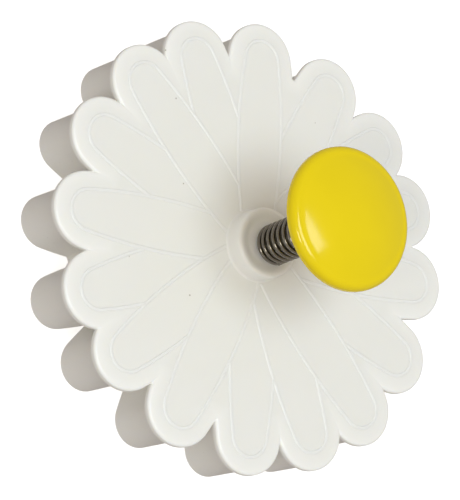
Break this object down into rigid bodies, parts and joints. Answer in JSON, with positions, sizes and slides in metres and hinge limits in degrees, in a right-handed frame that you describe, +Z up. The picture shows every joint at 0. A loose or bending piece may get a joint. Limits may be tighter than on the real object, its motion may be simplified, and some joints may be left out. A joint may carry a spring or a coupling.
{
  "type": "plunger cutter",
  "caption": "Scalloped daisy cutter for sugarpaste with a sprung plunger, a domed push knob and an embossing plate inside the skirt.",
  "frame": {"origin": "centre of the daisy at the level of the cutting edge", "axes": "+Z up along the plunger, from the cutting edge to the knob; +X and +Y across the daisy"},
  "size_m": [0.069, 0.0697, 0.0358],
  "materials": {
    "white_plastic": "moulded opaque white plastic with a soft sheen",
    "plate_plastic": "moulded opaque white plastic with a soft sheen",
    "knob_plastic": "moulded glossy yellow plastic",
    "steel_rod": "drawn steel rod",
    "spring_steel": "wound bright spring wire"
  },
  "bodies": {
    "cutter": {"cutter_body": "white_plastic", "return_spring": "spring_steel"},
    "plunger": {"embossing_plate": "plate_plastic", "plunger_stem": "steel_rod", "knob": "knob_plastic"}
  },
  "joints": [
    {"name": "press", "type": "slide", "parent": "cutter", "child": "plunger", "axis": [0, 0, -1], "range_m": [0, 0.0065], "stiffness_N_per_m": 690, "springref_m": -0.0046, "deforming": ["return_spring"]}
  ]
}
